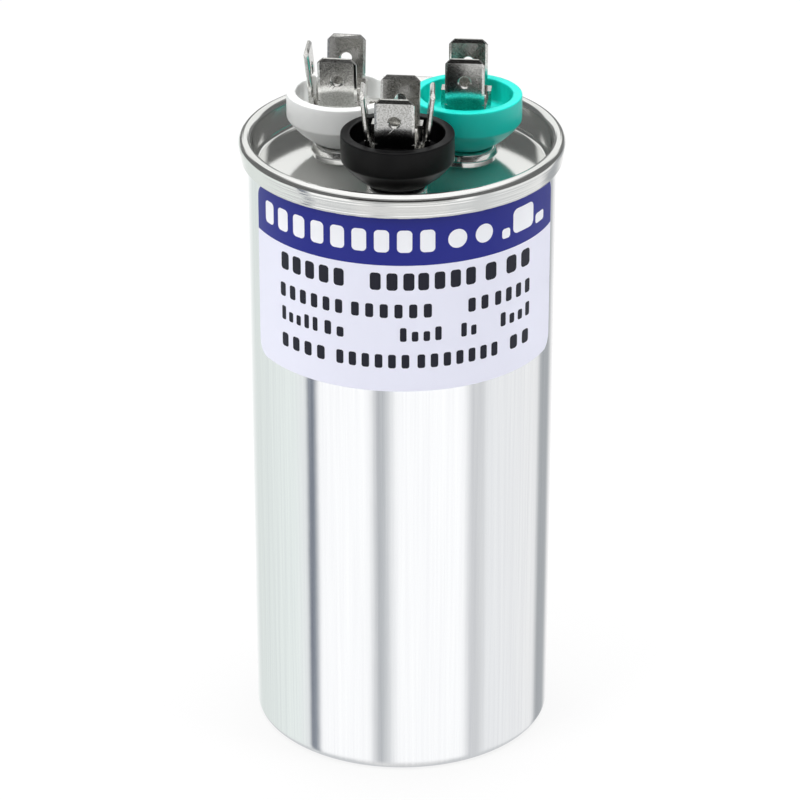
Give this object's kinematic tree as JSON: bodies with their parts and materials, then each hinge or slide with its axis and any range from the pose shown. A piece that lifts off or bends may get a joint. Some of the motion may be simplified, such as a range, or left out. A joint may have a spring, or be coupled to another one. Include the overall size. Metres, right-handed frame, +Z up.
{
  "type": "motor run capacitor",
  "caption": "Round aluminium can with a double-seamed lid, coloured terminal cups with push-on tabs, and a sectioned film winding sealed inside.",
  "frame": {"origin": "centre of the can's flat bottom", "axes": "+Z up along the can's axis; -Y towards the middle of the label's side and the black terminal; +X to the right seen from there"},
  "size_m": [0.053, 0.053, 0.1176],
  "materials": {
    "can": "bright drawn aluminium with fine vertical drawing lines",
    "lid": "satin tinplate",
    "seam_seal": "dull sealing compound",
    "label": "printed film, glossy blue band over a pale field",
    "cup_white": "moulded white plastic",
    "cup_black": "moulded black plastic",
    "cup_green": "moulded blue-green plastic",
    "tab": "dull tin plating on brass",
    "rivet": "tin-plated brass",
    "gasket": "black rubber",
    "washer": "brown laminated paper board",
    "lug": "plain brass",
    "disc": "laminated board",
    "core": "polypropylene tube",
    "winding": "metallised polypropylene film, wound",
    "barrier": "clear polypropylene film, several turns",
    "spray": "rough sprayed zinc",
    "bottom_cup": "polypropylene",
    "lead_black": "insulated copper wire",
    "lead_green": "insulated copper wire",
    "lead_white": "insulated copper wire"
  },
  "bodies": {
    "root": {"can": "can", "lid": "lid", "seam_seal": "seam_seal", "label": "label", "bushing_white": "cup_white", "bushing_black": "cup_black", "bushing_green": "cup_green", "fork_white": "tab", "fork_black": "tab", "fork_green": "tab", "side_tab_white": "tab", "side_fork_black": "tab", "rivet_white": "rivet", "rivet_black": "rivet", "rivet_green": "rivet", "gasket_white": "gasket", "gasket_black": "gasket", "gasket_green": "gasket", "washer_white": "washer", "washer_black": "washer", "washer_green": "washer", "solder_lug_white": "lug", "solder_lug_black": "lug", "solder_lug_green": "lug", "interrupter_disc": "disc", "core_tube": "core", "fan_winding": "winding", "section_barrier": "barrier", "compressor_winding": "winding", "end_spray_fan": "spray", "end_spray_compressor": "spray", "end_spray_common": "spray", "outer_wrap": "barrier", "bottom_cup": "bottom_cup", "lead_common": "lead_black", "lead_fan": "lead_green", "lead_compressor": "lead_white"}
  },
  "joints": []
}
